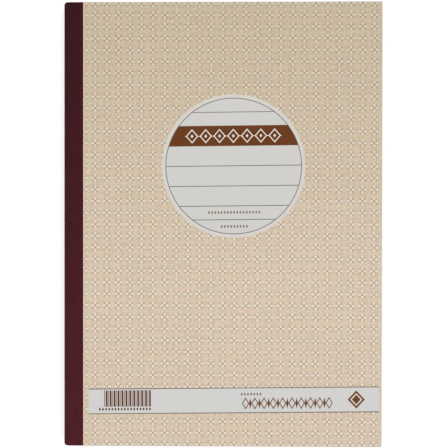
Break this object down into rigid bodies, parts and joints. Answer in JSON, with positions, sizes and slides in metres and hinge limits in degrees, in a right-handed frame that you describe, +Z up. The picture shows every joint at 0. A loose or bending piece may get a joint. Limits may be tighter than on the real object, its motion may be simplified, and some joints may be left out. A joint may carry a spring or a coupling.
{
  "type": "manifold book",
  "caption": "Triplicate invoice book: card covers that open on creases, cloth spine tape, wire staples, perforated carbonless leaves and a loose writing shield.",
  "frame": {"origin": "middle of the closed book's footprint, on its underside", "axes": "+X from the spine to the fore-edge, +Y from the tail to the head, +Z up out of the front cover"},
  "size_m": [0.2124, 0.297, 0.0138],
  "materials": {
    "front_card": "satin",
    "back_board": "satin",
    "spine_cloth": "matte",
    "staple_wire": "satin",
    "shield_card": "matte",
    "original_paper": "matte",
    "duplicate_paper": "matte",
    "triplicate_paper": "matte",
    "pad_paper": "matte"
  },
  "bodies": {
    "binding": {"spine_tape": "spine_cloth", "front_cover_bound_strip": "front_card", "back_cover_bound_strip": "back_board", "staple_head": "staple_wire", "staple_middle": "staple_wire", "staple_tail": "staple_wire", "set_01_original_stub": "original_paper", "set_01_duplicate_stub": "duplicate_paper", "set_01_triplicate_stub": "triplicate_paper", "set_02": "pad_paper", "set_03": "pad_paper", "set_04": "pad_paper", "set_05": "pad_paper", "set_06": "pad_paper", "set_07": "pad_paper", "set_08": "pad_paper", "set_09": "pad_paper", "set_10": "pad_paper", "sets_11_15": "pad_paper", "sets_16_20": "pad_paper", "sets_21_25": "pad_paper", "sets_26_30": "pad_paper", "sets_31_35": "pad_paper", "sets_36_40": "pad_paper", "sets_41_45": "pad_paper", "sets_46_50": "pad_paper"},
    "front_cover": {"front_cover": "front_card"},
    "back_cover": {"back_cover": "back_board"},
    "original_leaf": {"set_01_original_leaf": "original_paper"},
    "duplicate_leaf": {"set_01_duplicate_leaf": "duplicate_paper"},
    "triplicate_leaf": {"set_01_triplicate_leaf": "triplicate_paper"},
    "writing_shield": {"writing_shield": "shield_card"}
  },
  "joints": [
    {"name": "front_cover_hinge", "type": "hinge", "parent": "binding", "child": "front_cover", "pos_m": [-0.09275, 0, 0.01382], "axis": [0, -1, 0], "range_deg": [0, 180]},
    {"name": "original_leaf_hinge", "type": "hinge", "parent": "binding", "child": "original_leaf", "pos_m": [-0.09275, 0, 0.01382], "axis": [0, -1, 0], "range_deg": [0, 180]},
    {"name": "duplicate_leaf_hinge", "type": "hinge", "parent": "binding", "child": "duplicate_leaf", "pos_m": [-0.09275, 0, 0.01382], "axis": [0, -1, 0], "range_deg": [0, 180]},
    {"name": "triplicate_leaf_hinge", "type": "hinge", "parent": "binding", "child": "triplicate_leaf", "pos_m": [-0.09275, 0, 0.01382], "axis": [0, -1, 0], "range_deg": [0, 180]},
    {"name": "back_cover_hinge", "type": "hinge", "parent": "binding", "child": "back_cover", "pos_m": [-0.09275, 0, -0.00005], "axis": [0, 1, 0], "range_deg": [0, 180]},
    {"name": "shield_slide", "type": "slide", "parent": "binding", "child": "writing_shield", "axis": [1, 0, 0], "range_m": [0, 0.15]}
  ],
  "couplings": [
    {"joint": "original_leaf_hinge", "follows": "front_cover_hinge", "ratio": 0.98},
    {"joint": "duplicate_leaf_hinge", "follows": "front_cover_hinge", "ratio": 0.96},
    {"joint": "triplicate_leaf_hinge", "follows": "front_cover_hinge", "ratio": 0.94}
  ]
}
